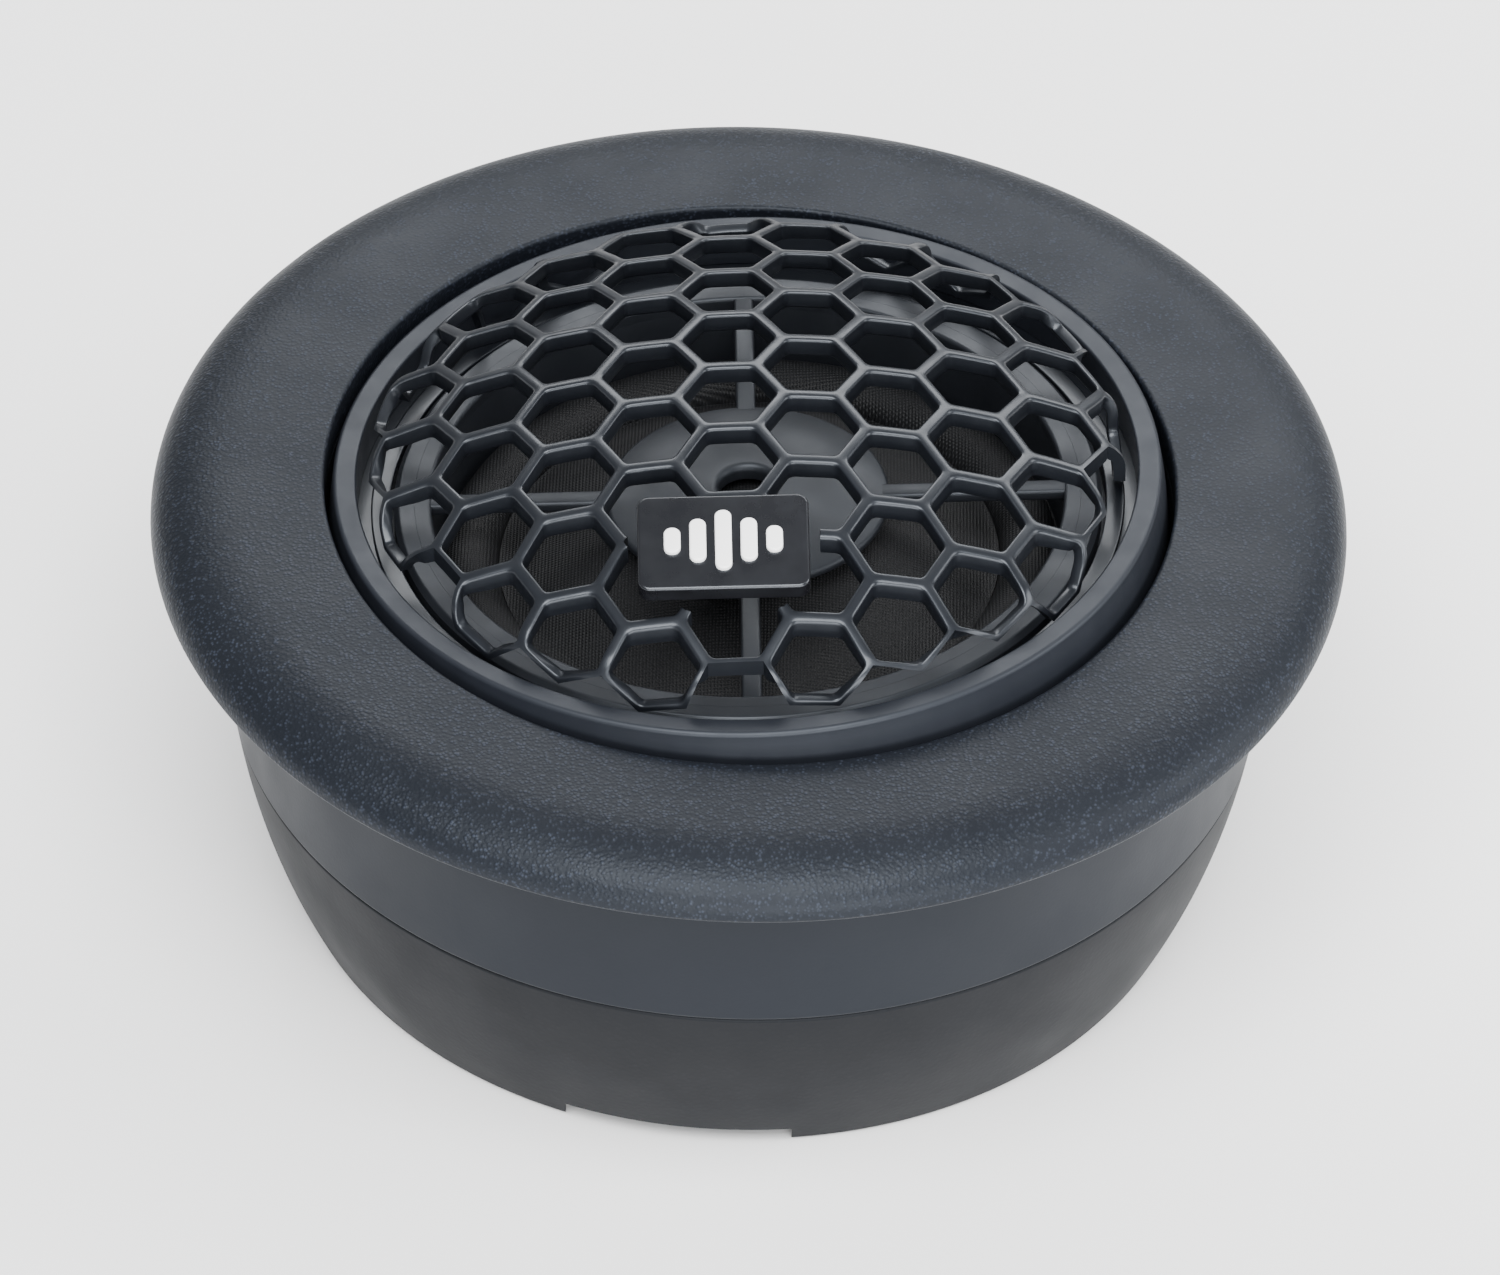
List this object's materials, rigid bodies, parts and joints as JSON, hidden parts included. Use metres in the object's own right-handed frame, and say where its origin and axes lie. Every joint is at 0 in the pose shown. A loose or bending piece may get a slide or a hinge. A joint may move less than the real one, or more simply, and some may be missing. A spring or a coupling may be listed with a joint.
{
  "type": "car tweeter",
  "caption": "Round flush-mount car tweeter: tapered cup, rolled flange, and an aiming soft-dome pod behind a domed honeycomb grille.",
  "frame": {"origin": "centre of the flat base of the cup, on the housing axis", "axes": "+Z out of the flange, the way the tweeter fires; -Y towards the cable notch and the badge"},
  "size_m": [0.06, 0.06, 0.0302],
  "materials": {
    "flange_plastic": "fine spark-eroded matte",
    "cup_plastic": "satin moulded",
    "pod_plastic": "satin-gloss moulded",
    "inner_plastic": "glass-filled nylon, matte",
    "badge_gloss": "gloss",
    "emblem_white": "gloss enamel",
    "woven_silk": "coated woven silk",
    "felt": "pressed felt",
    "paper": "pressed paper gasket",
    "steel": "zinc plated",
    "black_steel": "black oxide",
    "nickel": "nickel plated",
    "coil_metal": "thin rolled foil",
    "copper": "enamelled copper wire",
    "tab_brass": "tinned brass strip"
  },
  "bodies": {
    "housing": {"bezel_housing": "flange_plastic", "base_cup": "cup_plastic", "retaining_ring": "inner_plastic", "wave_spring": "steel"},
    "carrier": {"carrier_ring": "inner_plastic", "tilt_pins": "steel"},
    "pod": {"front_ring": "pod_plastic", "grille": "pod_plastic", "badge_plate": "badge_gloss", "badge_emblem": "emblem_white", "phase_plate": "inner_plastic", "face_plate": "inner_plastic", "diaphragm_gasket": "paper", "pod_shell": "inner_plastic", "pole_plate": "steel", "magnet": "nickel", "yoke_cup": "steel", "damping_felt": "felt", "rear_cap": "inner_plastic", "motor_screws": "black_steel", "face_screws": "black_steel", "terminal_tabs": "tab_brass", "coil_leads": "copper", "surround": "woven_silk"},
    "moving_coil": {"dome": "woven_silk", "coil_former": "coil_metal", "coil_winding": "copper"}
  },
  "joints": [
    {"name": "pan", "type": "hinge", "parent": "housing", "child": "carrier", "pos_m": [0, 0, 0.0202], "axis": [0, 0, 1], "range_deg": [-175, 175]},
    {"name": "tilt", "type": "hinge", "parent": "carrier", "child": "pod", "pos_m": [0, 0, 0.0202], "axis": [-0.6157, -0.788, 0], "range_deg": [-15, 9]},
    {"name": "coil_travel", "type": "slide", "parent": "pod", "child": "moving_coil", "axis": [-0.0412, 0.0322, 0.9986], "range_m": [-0.0003, 0.0003], "stiffness_N_per_m": 200, "deforming": ["surround", "coil_leads"]}
  ]
}
